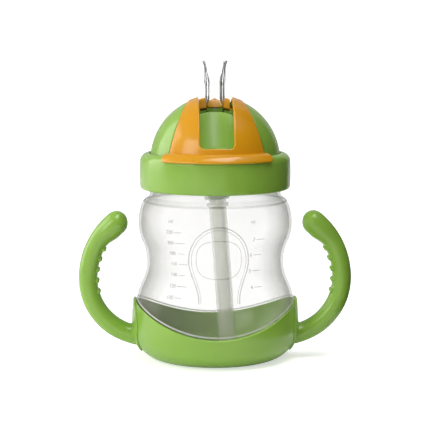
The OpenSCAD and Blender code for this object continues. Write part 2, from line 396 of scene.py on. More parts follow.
def within(points, loops):
    """Which points lie inside an odd number of the loops."""
    inside = np.zeros(len(points), bool)
    x, y = points[:, 0], points[:, 1]
    for loop in loops:
        a = np.array(loop)
        for (x0, y0), (x1, y1) in zip(a, np.roll(a, -1, 0)):
            if y0 != y1:
                inside ^= ((y0 > y) != (y1 > y)) & (x < (x1 - x0) * (y - y0) / (y1 - y0) + x0)
    return inside


def filling(loops, step):
    """Triangles that fill the loops, as extra points and faces over the loops' points in order."""
    edge = np.concatenate([np.array(loop) for loop in loops])
    low, high = edge.min(0), edge.max(0)
    xs = np.arange(low[0] + step / 2, high[0], step)
    ys = np.arange(low[1] + step / 2, high[1], step * 0.87)
    grid = np.array([(x + (j % 2) * step / 2, y) for j, y in enumerate(ys) for x in xs])
    grid = grid[within(grid, loops)]
    far = np.array([np.min(np.hypot(*(edge - g).T)) for g in grid]) > 0.5 * step
    points = np.concatenate([edge, grid[far]])
    rims = []
    for loop in loops:
        start = len(rims)
        rims += [(start + k, start + (k + 1) % len(loop)) for k in range(len(loop))]
    out = delaunay_2d_cdt([Vector(p) for p in points], rims, [], 4, 1e-7)
    names = [origin[0] if origin else None for origin in out[3]]
    faces = [[names[i] for i in face] for face in out[2]]
    inside = within(np.array([points[face].mean(0) for face in faces]), loops)
    return [tuple(p) for p in grid[far]], [face for face, kept in zip(faces, inside) if kept]


def panel(loops, rows, lift, step=1.4):
    """A closed sheet over 2D loops that keep the material on their left.

    rows are (inset, height) pairs that go round the edge from the underside to the top;
    the first and the last have the same inset, and lift(u, v, height) gives a point.
    """
    normals = [left_normals(loop, True) for loop in loops]

    def inset_loops(inset):
        return [
            [(p[0] + m[0] * inset, p[1] + m[1] * inset) for p, m in zip(loop, out)]
            for loop, out in zip(loops, normals)
        ]

    verts = []
    faces = []
    total = sum(len(loop) for loop in loops)
    for inset, height in rows:
        verts += [lift(u, v, height) for loop in inset_loops(inset) for u, v in loop]
    start = 0
    for loop in loops:
        firsts = range(start, start + total * len(rows), total)
        faces += skin([range(first, first + len(loop)) for first in firsts])
        start += len(loop)
    extra, fill = filling(inset_loops(rows[0][0]), step)
    for height, first in ((rows[0][1], 0), (rows[-1][1], (len(rows) - 1) * total)):
        base = len(verts)
        verts += [lift(u, v, height) for u, v in extra]
        faces += [[first + i if i < total else base + i - total for i in face] for face in fill]
    return verts, faces


def edge_rows(low, high, under, over, n=5):
    """Rows for panel(): an edge from height low to high with two rounded corners."""
    deep = max(under, over) + 0.15
    angles = [90 * k / n for k in range(n + 1)]
    rows = [(deep, low)]
    rows += [(under - under * sind(a), low + under - under * cosd(a)) for a in angles]
    rows += [(over - over * cosd(a), high - over + over * sind(a)) for a in angles]
    return rows + [(deep, high)]


def boolean(piece, other, operation):
    """Applies an exact boolean and removes the other object."""
    change = piece.modifiers.new("change", "BOOLEAN")
    change.operation = operation
    change.solver = "EXACT"
    change.object = other
    depsgraph = bpy.context.evaluated_depsgraph_get()
    result = bpy.data.meshes.new_from_object(piece.evaluated_get(depsgraph))
    piece.modifiers.clear()
    old = piece.data
    piece.data = result
    bpy.data.meshes.remove(old)
    bpy.data.objects.remove(other)


# ---- materials


def start_material(name):
    material = bpy.data.materials.new(name)
    material.use_nodes = True
    return material, material.node_tree, material.node_tree.nodes["Principled BSDF"]


def put(tree, node, inputs):
    """Sets a node's inputs to constants, or links them to other nodes' outputs."""
    for name, value in inputs.items():
        if isinstance(value, bpy.types.NodeSocket):
            tree.links.new(value, node.inputs[name])
        else:
            node.inputs[name].default_value = value


def add(tree, kind, inputs, output):
    """Adds a node and gives one of its outputs."""
    node = tree.nodes.new(kind)
    put(tree, node, inputs)
    return node.outputs[output]


def noise(tree, scale, detail):
    """A noise in the object's own coordinates; scale is in features per metre."""
    place = add(tree, "ShaderNodeTexCoord", {}, "Object")
    return add(tree, "ShaderNodeTexNoise", {"Scale": scale, "Detail": detail, "Vector": place}, "Fac")


def ramp(tree, source, low, high, first=0.3, last=0.7):
    """Maps a value to between two greys or colours."""
    scale = tree.nodes.new("ShaderNodeValToRGB")
    for end, place, value in zip(scale.color_ramp.elements, (first, last), (low, high)):
        end.position = place
        end.color = (*value, 1) if isinstance(value, tuple) else (value, value, value, 1)
    put(tree, scale, {"Fac": source})
    return scale.outputs["Color"]


def combine(tree, operation, a, b):
    """Two values put through one step of arithmetic."""
    step = tree.nodes.new("ShaderNodeMath")
    step.operation = operation
    tree.links.new(a, step.inputs[0])
    tree.links.new(b, step.inputs[1])
    return step.outputs[0]


def bump(tree, height, distance):
    return add(tree, "ShaderNodeBump", {"Height": height, "Distance": distance}, "Normal")


def edge_on(tree, blend):
    """How nearly edge-on the surface is seen."""
    return add(tree, "ShaderNodeLayerWeight", {"Blend": blend}, "Facing")


def moulded_plastic(name, dark, light, rough):
    """Glossy moulded plastic: faint flow marks in the colour, sink waves and a fine grain."""
    material, tree, shader = start_material(name)
    grain = ramp(tree, noise(tree, 2600, 2), 0.0, 0.03)
    put(tree, shader, {
        "Base Color": ramp(tree, noise(tree, 35, 2), dark, light),
        "Roughness": ramp(tree, noise(tree, 90, 1), rough, rough + 0.06),
        "Normal": bump(tree, combine(tree, "ADD", noise(tree, 55, 1), grain), 0.00002),
        "Specular IOR Level": 0.5,
        "IOR": 1.49,
        "Subsurface Weight": 0.12,
        "Subsurface Radius": (0.002, 0.003, 0.001),
        "Coat Weight": 0.2,
        "Coat Roughness": rough * 0.75,
    })
    return material


def bottle_plastic():
    """Clear polypropylene with a little milk in it, denser where it is seen along the wall; its colour
    darkens to painted shade where it is seen edge-on.
    """
    material, tree, shader = start_material("bottle_plastic")
    edge = edge_on(tree, 0.22)
    put(tree, shader, {
        # Painted shade: the colour goes dark where the wall is seen edge-on, to draw the dark edges that
        # refraction gives a clear wall.
        "Base Color": ramp(tree, edge, (0.36, 0.34, 0.3), (0.18, 0.18, 0.16), 0.25, 0.8),
        "Alpha": ramp(tree, edge, 0.115, 0.68, 0.12, 0.92),
        "Roughness": ramp(tree, noise(tree, 400, 4), 0.1, 0.2),
        "Normal": bump(tree, noise(tree, 70, 2), 0.00006),
        "IOR": 1.49,
    })
    return material


def relief_plastic(name, dark, light, alpha):
    """The bottle's plastic where it stands out from the wall; the bead's near-white copy of it is a painted
    highlight.
    """
    material, tree, shader = start_material(name)
    cloud = noise(tree, 500, 2)
    put(tree, shader, {
        "Base Color": ramp(tree, cloud, dark, light),
        "Roughness": ramp(tree, cloud, 0.2, 0.4),
        "Alpha": alpha,
    })
    return material


def clear_silicone():
    """Clear silicone that bends the light, with painted shade on its edges and faint moulding haze."""
    material, tree, shader = start_material("clear_silicone")
    put(tree, shader, {
        # Painted shade: the colour goes dark where the surface is seen edge-on, over the dark edges that the
        # cards behind give through refraction.
        "Base Color": ramp(tree, edge_on(tree, 0.4), (0.98, 0.98, 0.97), (0.1, 0.1, 0.1), 0.4, 0.85),
        "Roughness": ramp(tree, noise(tree, 300, 3), 0.02, 0.07),
        "Normal": bump(tree, noise(tree, 140, 2), 0.00005),
        "IOR": 1.41,
        "Transmission Weight": 1.0,
    })
    return material


def milky_plastic(name, light, dark, alpha):
    """Frosted tube plastic or silicone that hides most of what is behind it."""
    material, tree, shader = start_material(name)
    cloud = noise(tree, 120, 3)
    put(tree, shader, {
        "Base Color": ramp(tree, cloud, dark, light),
        "Roughness": ramp(tree, cloud, 0.3, 0.45),
        "Normal": bump(tree, noise(tree, 1800, 2), 0.00001),
        "Alpha": alpha,
        "Subsurface Weight": 0.2,
        "Subsurface Radius": (0.002, 0.002, 0.0018),
    })
    return material


LEAF = (0.235, 0.43, 0.05), (0.26, 0.46, 0.06)
GREEN = moulded_plastic("green_plastic", *LEAF, 0.2)
TROUGH_GREEN = moulded_plastic("trough_plastic", *LEAF, 0.42)
ORANGE = moulded_plastic("orange_plastic", (0.64, 0.285, 0.005), (0.69, 0.315, 0.007), 0.18)
PALE_GREEN = moulded_plastic("pale_green_plastic", (0.44, 0.62, 0.24), (0.5, 0.68, 0.28), 0.3)
BOTTLE = bottle_plastic()
RELIEF = relief_plastic("bottle_relief", (0.3, 0.29, 0.26), (0.42, 0.41, 0.37), 0.28)
# Painted highlight: the bead is near white and partly opaque, to draw the light line that runs along it.
BEAD_HIGHLIGHT = relief_plastic("bottle_bead_highlight", (0.8, 0.8, 0.77), (0.9, 0.9, 0.87), 0.4)
CLEAR = clear_silicone()
MILKY = milky_plastic("milky_silicone", (0.7, 0.73, 0.66), (0.62, 0.66, 0.58), 0.45)
TUBE = milky_plastic("tube_plastic", (0.9, 0.89, 0.83), (0.84, 0.83, 0.77), 0.3)


# ---- bottle


def joined_rho(height, depth):
    """The radius of the arc that meets the waist's arc in a tangent."""
    return (height * height + depth * depth) / (2 * depth) - WAIST_RHO


BELLY_RHO = joined_rho(WAIST_Z - BELLY_Z, BELLY_R - WAIST_R)
BULGE_RHO = joined_rho(BULGE_Z - WAIST_Z, BULGE_R - WAIST_R)
WAIST_C = (WAIST_R + WAIST_RHO, WAIST_Z)
BELLY_C = (BELLY_R - BELLY_RHO, BELLY_Z)
BULGE_C = (BULGE_R - BULGE_RHO, BULGE_Z)
CAP_C = (BULGE_R - CAP_RHO, BULGE_Z)
SHOULDER_C = arc(CAP_C, CAP_RHO - SHOULDER_RHO, CAP_A, CAP_A, 1)[0]
CORNER_A = math.degrees(math.asin((BELLY_Z - FOOT_Z - CORNER_RHO) / (BELLY_RHO - CORNER_RHO)))
CORNER_C = arc(BELLY_C, BELLY_RHO - CORNER_RHO, -CORNER_A, -CORNER_A, 1)[0]
LOW_A = math.degrees(math.atan2(WAIST_Z - BELLY_Z, WAIST_C[0] - BELLY_C[0]))
HIGH_A = math.degrees(math.atan2(BULGE_Z - WAIST_Z, WAIST_C[0] - BULGE_C[0]))


def bottle_side(inset):
    """The bottle's side from the foot to the shoulder, moved inwards."""
    return (
        arc(CORNER_C, CORNER_RHO - inset, -90, -CORNER_A, 14)
        + arc(BELLY_C, BELLY_RHO - inset, -CORNER_A, LOW_A, 26)[1:]
        + arc(WAIST_C, WAIST_RHO + inset, 180 + LOW_A, 180 - HIGH_A, 26)[1:]
        + arc(BULGE_C, BULGE_RHO - inset, -HIGH_A, 0, 14)[1:]
        + arc(CAP_C, CAP_RHO - inset, 0, CAP_A, 6)[1:]
        + arc(SHOULDER_C, SHOULDER_RHO - inset, CAP_A, SHOULDER_A, 10)[1:]
    )


def side_radius(z):
    """The bottle's outer radius at a height between the belly and the shoulder."""
    profile = bottle_side(0)
    return float(np.interp(z, [p[1] for p in profile], [p[0] for p in profile]))


def thread(radius, height, z0, sides=60):
    """One turned ridge that stands out of a wall, or into a bore if the height is negative."""
    steps = round(sides * THREAD_TURNS)
    rings = []
    sign = math.copysign(1, height)
    root = radius - 0.5 * sign
    for i in range(steps + 1):
        a = 360 * i / sides
        tip = radius + height * min(1, i / 5, (steps - i) / 5) + 0.02 * sign
        z = z0 + PITCH * a / 360
        corners = [(root, z - 0.9), (tip, z - 0.4), (tip, z + 0.4), (root, z + 0.9)]
        section = rounded(corners, [0, 0.3, 0.3, 0], 3)
        rings.append([(r * cosd(a), r * sind(a), h) for r, h in section])
    return loft(rings)


def ring_step(z, height=0.22, width=0.5):
    """A fine raised ring round the bottle's shoulder."""
    r = side_radius(z)
    below = [(r - 0.3, z - width), (r + height * 0.3, z - width * 0.6)]
    above = [(r + height * 0.2 - 0.35, z + width), (r - 0.6, z + width)]
    return lathe(below + [(r + height, z)] + above, 180)


def bottle():
    bore = NECK_R - NECK_WALL
    outside = (
        [(0, FOOT_Z + 0.8)] + arc((FOOT_R, FOOT_Z + 0.8), 0.8, 180, 270, 4)
        + bottle_side(0)
        + arc((NECK_R + 0.6, NECK_Z + 0.6), 0.6, 270, 180, 3)
        + arc((NECK_R - 0.5, MOUTH_Z - 0.5), 0.5, 0, 90, 4)
    )
    inside = (
        arc((bore + 0.5, MOUTH_Z - 0.5), 0.5, 90, 180, 4)
        + [(bore, NECK_Z - 0.6)]
        + bottle_side(WALL)[::-1]
        + [(FOOT_R, FOOT_Z + FLOOR_WALL + 0.6), (0, FOOT_Z + FLOOR_WALL + 0.8)]
    )
    add_clear("bottle_shell", lathe(outside + inside, 180), BOTTLE, "bottle", "bottle_plastic", "bottle")
    turns = join(thread(NECK_R, THREAD_H, THREAD_Z), ring_step(77.3))
    add_clear("bottle_thread", turns, BOTTLE, "bottle", "bottle_plastic")


def on_bottle(u, z, height, azimuth):
    """A point over the bottle's side; u runs to the right round it from an azimuth, 0 being the front."""
    r = side_radius(z) + height
    a = azimuth + math.degrees(u / side_radius(z))
    return r * sind(a), -r * cosd(a), z


def line_relief(path, width, height, azimuth, closed=False):
    """A fine half-round ridge along a path of (u, z) on the bottle."""
    rings = []
    for place, side in zip(np.array(path, float), left_normals(path, closed)):
        ring = []
        for a in (200, 270, 340, 35, 90, 145):
            q = place + side * width / 2 * cosd(a)
            ring.append(on_bottle(q[0], q[1], height * sind(a), azimuth))
        rings.append(ring)
    if not closed:
        return loft(rings)
    verts, faces = loft(rings + rings[:1])
    return verts, faces[1:-1]


def numeral(text, u, z, size, azimuth):
    """A raised numeral on the bottle, right-aligned to u."""
    curve = bpy.data.curves.new("numeral", "FONT")
    curve.body = text
    curve.size = size
    curve.align_x = "RIGHT"
    curve.align_y = "CENTER"
    curve.extrude = 0.15
    curve.resolution_u = 3
    holder = bpy.data.objects.new("numeral", curve)
    mesh = holder.to_mesh()
    verts = [on_bottle(u + v.co.x, z + v.co.y, v.co.z, azimuth) for v in mesh.vertices]
    faces = [list(p.vertices) for p in mesh.polygons]
    holder.to_mesh_clear()
    bpy.data.objects.remove(holder)
    bpy.data.curves.remove(curve)
    return verts, faces


def scale_marks():
    """Two scales of raised ticks and numerals: millilitres on the left, ounces on the right."""
    low_z = 34.6
    low_ml = 100
    mm_per_ml = 5.15 / 20
    ml_per_oz = 29.57
    left = -33
    right = 30
    size = 2.5
    top = low_z + 140 * mm_per_ml
    marks = [(str(ml), ml, 3.4 if ml % 40 else 5, left) for ml in range(low_ml, 240, 20)]
    marks += [(str(oz), oz * ml_per_oz, 4, right) for oz in range(4, 8)]
    parts = [numeral("ml", -1, top, size, left), numeral("oz", -1, top, size, right)]
    for text, ml, length, azimuth in marks:
        z = low_z + (ml - low_ml) * mm_per_ml
        parts.append(line_relief([(u, z) for u in np.linspace(0, length, 5)], 0.35, 0.16, azimuth))
        parts.append(numeral(text, -0.9, z, size, azimuth))
    add_piece("scale_marks", join(*parts), RELIEF, "bottle", "bottle_plastic")


def bulb(half, foot, low, high, n=40):
    """A plain bulb-shaped outline: a round head on a narrower foot that is open below."""
    wide_z = 52
    foot_z = 34
    side = []
    for z in np.linspace(low, wide_z, n):
        side.append((foot + (half - foot) * ease((z - foot_z) / (wide_z - foot_z)), z))
    head = [(half * cosd(a), wide_z + (high - wide_z) * sind(a)) for a in np.linspace(0, 180, 2 * n)[1:-1]]
    return side + head + [(-u, z) for u, z in side[::-1]]


def squarish(a, power):
    """A point on a unit circle that is pushed towards its square by a power below 1."""
    x, y = cosd(a), sind(a)
    return math.copysign(abs(x) ** power, x), math.copysign(abs(y) ** power, y)


def oval(half, low, high, n=64):
    """A plain oval with full corners."""
    path = []
    for k in range(n):
        u, v = squarish(360 * k / n, 0.75)
        path.append((half * u, (low + high) / 2 + (high - low) / 2 * v))
    return path


def front_relief():
    """Plain outlines on the bottle's front: a double bulb with an oval in it."""
    azimuth = 1
    outer = line_relief(bulb(14.5, 9.7, 32.3, 68.4), 0.6, 0.2, azimuth)
    middle = line_relief(bulb(13.2, 8.7, 32.6, 67.1), 0.3, 0.12, azimuth)
    inner = line_relief(oval(10.8, 43.5, 62), 0.35, 0.14, azimuth, True)
    add_piece("front_outlines", join(outer, middle, inner), RELIEF, "bottle", "bottle_plastic")


def rim_bead():
    """A low bead on the bottle that follows the cup's scalloped rim, just above it; its near-white colour is
    a painted highlight.
    """
    path = []
    for azimuth in np.linspace(-180, 180, 181):
        z = rim_height(azimuth) + 0.85
        path.append((side_radius(z) * math.radians(azimuth), z))
    add_piece("rim_bead", line_relief(path, 1.0, 0.12, 0), BEAD_HIGHLIGHT, "bottle", "bottle_plastic")


# ---- base cup and handles


def cup_radius(z):
    """The base cup's outer radius at a height."""
    if z < BASE_RHO:
        return BASE_R - BASE_RHO + math.sqrt(max(BASE_RHO**2 - (BASE_RHO - z) ** 2, 0))
    return BASE_R - (z - BASE_RHO) ** 2 / (2 * SIDE_RHO)


def cup_bore(z):
    """The base cup's inner radius above its rounded corner."""
    return BELLY_C[0] + math.sqrt((BELLY_RHO + CUP_GAP) ** 2 - (z - BELLY_Z) ** 2)


def rim_height(azimuth):
    """The scalloped rim's height, from a cylinder along Y that cuts the cup."""
    z = RIM_LOW
    for _ in range(6):
        x = cup_radius(z) * sind(azimuth)
        z = RIM_LOW + SCALLOP_R - math.sqrt(SCALLOP_R**2 - x * x)
    return min(z, BASE_TOP)


def base_cup():
    sides = 240
    hollow = 0.5
    corner = arc(CORNER_C, CORNER_RHO + CUP_GAP, -CORNER_A, -90, 12)
    verts = [(0, 0, hollow), (0, 0, FOOT_Z - CUP_GAP)]
    for k in range(sides):
        azimuth = 360 * k / sides
        rim = rim_height(azimuth)
        soft = min(0.75, max((cup_radius(rim) - cup_bore(rim)) / 2, 0.3) * 1.3)
        low = rim - soft
        mid = (cup_radius(low) + cup_bore(low)) / 2
        half = (cup_radius(low) - cup_bore(low)) / 2
        ring = arc((FOOT_R + hollow, hollow), hollow, 180, 270, 3)
        ring += arc((BASE_R - BASE_RHO, BASE_RHO), BASE_RHO, -90, 0, 20)
        ring += [(cup_radius(z), z) for z in np.linspace(BASE_RHO, low, 10)[1:]]
        ring += [(mid + half * cosd(a), low + soft * sind(a)) for a in range(18, 180, 18)]
        ring += [(cup_bore(z), z) for z in np.linspace(low, corner[0][1], 10)]
        ring += corner[1:]
        verts += [(r * sind(azimuth), -r * cosd(azimuth), z) for r, z in ring]
    rows = [range(2 + i, len(verts), len(ring)) for i in range(len(ring))]
    faces = skin([[0] * sides] + rows + [[1] * sides])
    add_piece("base_cup_shell", (verts, faces), GREEN, "base", "green_plastic", "base_cup")


def cup_cutter(grow):
    """The cup's outside as a closed solid, for cutting."""
    side = arc((BASE_R - BASE_RHO, BASE_RHO), BASE_RHO + grow, -90, 0, 20)
    side += [(cup_radius(z) + grow, z) for z in np.linspace(BASE_RHO, BASE_TOP, 8)[1:]]
    return make("cup_cutter", lathe([(0, side[0][1])] + side + [(0, BASE_TOP)], 180), GREEN)


def shield():
    """The shield-shaped plate that lies on the cup's left side."""
    low, high = 4.6, 29.6
    side = [(8.5, low), (SHIELD_W - 1.2, 12), (SHIELD_W, 17), (SHIELD_W - 1.6, 22)]
    crown = [side[-1], (9.5, 26.2), (5, high)]
    across = [[(-u, v) for u, v in line[::-1]] for line in (side, crown)]
    loop = outline([[across[0][-1], side[0]], side, crown + across[1], across[0]], [3.5, 3, 3, 3.5])
    loop = [(-u, v) for u, v in spaced(loop, 0.8)][::-1]

    def lift(u, v, height):
        r = cup_radius(v) + height
        z = v
        if v < BASE_RHO:
            r = cup_radius(v) + height * (cup_radius(v) - BASE_R + BASE_RHO) / BASE_RHO
            z = v - height * (BASE_RHO - v) / BASE_RHO
        a = u / BASE_R
        return -r * math.cos(a), r * math.sin(a), z

    return panel([loop], edge_rows(-0.25, SHIELD_T, 0.05, 0.5), lift, 1.5)


def bar():
    """The handle's bar: two arcs, a knob that swells from the inside, and a flared root."""
    lower_c = (PATH_X + LOWER_RHO, PATH_Z)
    upper_c = (PATH_X + UPPER_RHO, PATH_Z)
    sides = 40

    def ring(centre, rho, a, r, depth):
        points = []
        for k in range(sides):
            x, y = squarish(360 * k / sides, 0.94)
            d = rho - r * x
            points.append((centre[0] + d * cosd(a), depth * y, centre[1] + d * sind(a)))
        return points

    rings = []
    for a in np.linspace(ROOT_A, 180, 42):
        flare = max(0, (a - 247) / 16)
        grown = 1 + 0.3 * flare * flare
        rho = LOWER_RHO - BAR_R * (grown - 1) * 0.8
        rings.append(ring(lower_c, rho, a, BAR_R * grown, BAR_DEPTH * grown))
    for a in np.linspace(180, TIP_A, 30)[1:]:
        r = BAR_R + (KNOB_R - BAR_R) * ease((SWELL_A - a) / 16)
        rings.append(ring(upper_c, UPPER_RHO + BAR_R - r, a, r, BAR_DEPTH * r / BAR_R * 0.98))
    end = UPPER_RHO + BAR_R - KNOB_R
    for u in range(9, 90, 9):
        a = TIP_A - math.degrees(math.asin(KNOB_R * sind(u) / end))
        rings.append(ring(upper_c, end, a, KNOB_R * cosd(u), KNOB_R * 1.16 * cosd(u)))
    return loft(rings)


def nub(centre, out):
    """A round grip nub with a soft foot, standing out along a direction."""
    foot = NUB_R * 1.25
    profile = [(0, -1.2), (foot, -1.2), (foot, -0.35), (NUB_R * 1.02, 0.05)]
    profile += arc((0, 0.1), NUB_R, 0, 90, 7)[1:]
    profile[-1] = (0, NUB_R + 0.1)
    turn = Vector((0, 0, 1)).rotation_difference(out).to_matrix().to_4x4()
    return moved(lathe(profile, 20), Matrix.Translation(centre) @ turn)


def handle(side):
    name = "handle_left" if side < 0 else "handle_right"
    piece = make(name + "_bar", bar(), GREEN)
    boolean(piece, cup_cutter(0.02), "DIFFERENCE")
    boolean(piece, make("shield", shield(), GREEN), "UNION")
    centre = Vector((PATH_X + UPPER_RHO, 0, PATH_Z))
    for k in range(5):
        a = NUB_A + NUB_STEP * k
        for across in (-NUB_Y, NUB_Y):
            out = Vector((-cosd(a), across * 0.12, -sind(a))).normalized()
            place = centre + Vector((cosd(a), 0, sind(a))) * (UPPER_RHO - BAR_R * 0.9)
            place.y = across
            boolean(piece, make("nub", nub(place, out), GREEN), "UNION")
    if side > 0:
        piece.data.transform(Matrix.Scale(-1, 4, (1, 0, 0)))
        piece.data.flip_normals()
    shade(piece.data, 32)
    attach(piece, "base")
    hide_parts(name)


# ---- collar


def screw_collar():
    """The ring: a slightly crowned wall, a round shoulder and a lip that holds the lid's flange down."""
    edge = 1.6
    crown = 0.16
    low = COLLAR_LOW + edge
    high = COLLAR_HIGH - COLLAR_SHOULDER
    under_lip = COLLAR_HIGH - 1
    seat = MOUTH_Z + 0.5
    profile = arc((COLLAR_R - crown - edge, low), edge, -90, -8, 8)
    for t in np.linspace(-1, 1, 13):
        profile.append((COLLAR_R - crown * t * t, (low + high) / 2 + (high - low) / 2 * t))
    profile += arc((COLLAR_R - crown - COLLAR_SHOULDER, high), COLLAR_SHOULDER, 6, 90, 14)
    profile += arc((LIP_R + 0.3, COLLAR_HIGH - 0.3), 0.3, 90, 180, 3)
    profile += [(LIP_R, under_lip), (FLANGE_R + 0.5, under_lip), (FLANGE_R + 0.5, seat), (COLLAR_BORE, seat)]
    profile += arc((COLLAR_BORE + 0.5, COLLAR_LOW + 0.5), 0.5, 180, 270, 3)
    add_piece("collar_ring", lathe(profile, 200), GREEN, "collar", "green_plastic", "screw_collar")
    turns = thread(COLLAR_BORE, -THREAD_H, THREAD_Z - PITCH / 2)
    add_piece("collar_thread", turns, GREEN, "collar", "green_plastic")


# ---- lid


def sphere_lift(radius, tilt):
    """A map from 2D lengths to the dome, about a point at an angle forward from the top."""
    middle = Vector((0, -sind(tilt), cosd(tilt)))
    up = Vector((0, cosd(tilt), sind(tilt)))

    def lift(u, v, height):
        far = max(math.hypot(u, v), 1e-9)
        a = far / radius
        sideways = (Vector((1, 0, 0)) * u + up * v) / far
        n = middle * math.cos(a) + sideways * math.sin(a)
        return tuple(n * (radius + height) + DOME_C)

    def flat(p):
        n = Vector(p).normalized()
        a = math.acos(max(-1, min(1, n.dot(middle))))
        scale = radius * a / math.sin(a) if a > 1e-9 else radius
        return n.x * scale, n.dot(up) * scale

    return lift, flat


def dome_point(x, angle, radius):
    """A point on a sphere about the dome's centre, at x and at an angle forward from the top."""
    q = math.sqrt(radius * radius - x * x)
    return Vector((x, -q * sind(angle), q * cosd(angle)))


def wedge_x(angle, radius, distance):
    """Where the cover's slanted side plane meets a sphere, at an angle forward from the top."""
    k = -SIDE_N.y * sind(angle) + SIDE_N.z * cosd(angle)
    size = radius * math.hypot(SIDE_N.x, k)
    return radius * math.sin(math.asin(distance / size) - math.atan2(k, SIDE_N.x))


def angle_at_height(z, radius, distance):
    """The angle at which the cover's side comes down to a height above the dome's centre."""
    low, high = 40, 100
    for _ in range(40):
        mid = (low + high) / 2
        x = wedge_x(mid, radius, distance)
        if math.sqrt(radius * radius - x * x) * cosd(mid) > z:
            low = mid
        else:
            high = mid
    return low


def side_line(radius, distance, back, front, n=40):
    """The right side of the cover from its back edge down to the front."""
    angles = np.linspace(back, front, n)
    return [dome_point(wedge_x(a, radius, distance), a, radius) for a in angles]


def mirrored(points):
    """The same line on the left, in the opposite order."""
    return [Vector((-p.x, p.y, p.z)) for p in points][::-1]


def cross_line(x0, x1, angle, radius, n=12):
    """A line across the dome at one angle."""
    return [dome_point(x, angle, radius) for x in np.linspace(x0, x1, n)]


def length_line(x, a0, a1, radius, n=40):
    """A line down the dome at one x."""
    return [dome_point(x, a, radius) for a in np.linspace(a0, a1, n)]


def level_line(x, z, radius, n=30):
    """From x to -x round the front of the dome, at one height."""
    r = math.sqrt(radius * radius - z * z)
    edge = math.asin(x / r)
    return [Vector((r * math.sin(a), -r * math.cos(a), z)) for a in np.linspace(edge, -edge, n)]


def dome_shell():
    """The green dome: a cap with the window's slot, and a thicker skin beside and behind the cover."""
    lift, flat = sphere_lift(DOME_R, 0)
    low = 1.4
    back = COVER_BACK - 0.3
    gap_d = SIDE_D + 0.15
    right = side_line(DOME_R, gap_d, back, angle_at_height(low, DOME_R, gap_d))
    r = math.sqrt(DOME_R**2 - low**2)
    start = math.degrees(math.atan2(right[-1].y, right[-1].x))
    around = [Vector((x, y, low)) for x, y in arc((0, 0), r, start, 180 - start, 139)]
    across = cross_line(-right[0].x, right[0].x, back, DOME_R, 16)
    stretches = [[flat(p) for p in line] for line in (around, mirrored(right), across, right)]
    loop = spaced(outline(stretches, [0.6, 1.6, 1.6, 0.6]), 0.8)
    cheeks = panel([loop], edge_rows(RECESS_R - 0.1 - DOME_R, 0, 0.05, 0.45), lift, 1.6)

    lift, flat = sphere_lift(RECESS_R, 0)
    rim = arc((0, 0), RECESS_R * math.radians(87.3), 0, 360, 180)[:-1]
    w = WINDOW_W + 0.3
    front = WINDOW_LOW + 0.5
    slot = [
        length_line(w, back, front, RECESS_R),
        cross_line(w, -w, front, RECESS_R),
        length_line(-w, front, back, RECESS_R),
        cross_line(-w, w, back, RECESS_R),
    ]
    hole = outline([[flat(p) for p in line] for line in slot], [2.4, 2.4, 0.6, 0.6])
    cap = panel([rim, spaced(hole, 0.8)], edge_rows(DOME_IN - RECESS_R, 0, 0.25, 0.25), lift, 1.8)

    under = DOME_Z + low
    flange = [(DOME_IN - 0.1, under), (FLANGE_R, under)] + arc((FLANGE_R - 0.3, under + 1.1), 0.3, 0, 90, 3)
    flange = lathe(flange + [(DOME_IN - 0.2, under + 1.4)], 180)
    add_piece("dome_shell", join(cheeks, cap, flange), GREEN, "lid", "green_plastic", "dome_lid")


def trough_block():
    """The raised block whose front is the trough that the spout folds into."""
    rings = []
    for x in np.linspace(-TOWER_W, TOWER_W, 33):
        depth = TROUGH_RHO - math.sqrt(TROUGH_RHO**2 - x * x)
        top = TOWER_TOP + 0.6 - (SHUTTER_IN - math.sqrt(SHUTTER_IN**2 - x * x))
        y_start = POCKET_FRONT - 0.4 - depth * sind(TROUGH_TILT)
        z_start = TOWER_TOP + depth * cosd(TROUGH_TILT)
        to_top = (z_start - top) / sind(TROUGH_TILT)
        to_foot = (z_start - LEDGE_Z) / sind(TROUGH_TILT)
        front = -math.sqrt((DOME_IN + 0.3) ** 2 - x * x - LEDGE_Z**2)
        foot = (y_start - to_foot * cosd(TROUGH_TILT), LEDGE_Z)
        brow = (y_start - to_top * cosd(TROUGH_TILT), top)
        corners = [(front, 0), (front, LEDGE_Z), foot, brow, (POCKET_FRONT, top), (POCKET_FRONT, 0)]
        section = rounded(corners, [0, 0.5, 5, 1.3, 0.6, 0], 8)
        rings.append([(x, y, z + DOME_Z) for y, z in section])
    return loft(rings)


def pocket_wall():
    """The wall round the well that the spout stands in, up to the shutter's underside."""
    w = (POCKET_W + TOWER_W) / 2
    back = POCKET_BACK + 0.85
    corner = 1.6
    right = [(w, y) for y in np.linspace(POCKET_FRONT - 0.5, back - corner, 8)]
    right += arc((w - corner, back - corner), corner, 0, 90, 6)[1:]
    across = [(x, back) for x in np.linspace(w - corner, corner - w, 10)[1:-1]]
    path = right + across + [(-x, y) for x, y in right[::-1]]
    half = (TOWER_W - POCKET_W) / 2
    rings = []
    for (x, y), side in zip(path, left_normals(path, False)):
        top = min(TOWER_TOP + 1.2, math.sqrt(TOWER_R**2 - x * x - y * y))
        section = rounded([(-half, 0), (-half, top), (half, top - 0.15), (half, 0)], [0, 0.4, 0.4, 0], 5)
        rings.append([(x - side[0] * d, y - side[1] * d, z + DOME_Z) for d, z in section])
    return loft(rings)


def pocket_floor():
    """The well's floor, with the hole that the spout comes up through."""
    n = 48
    into_wall = 0.3
    low, high = 6.4, 8
    hole = arc((0, SPOUT_Y), SPOUT_R + 0.4, 0, 360, n)[:-1]
    rim = []
    for k in range(n):
        a = 360 * k / n
        deep = POCKET_BACK - SPOUT_Y if a < 180 else SPOUT_Y - POCKET_FRONT
        reach_x = (POCKET_W + into_wall) / max(abs(cosd(a)), 1e-9)
        reach_y = (deep + into_wall) / max(abs(sind(a)), 1e-9)
        rim += arc((0, SPOUT_Y), min(reach_x, reach_y), a, a, 1)[:1]
    rings = [(hole, low), (rim, low), (rim, high), (hole, high), (hole, low)]
    verts, faces = loft([[(x, y, z + DOME_Z) for x, y in ring] for ring, z in rings])
    return verts, faces[1:-1]


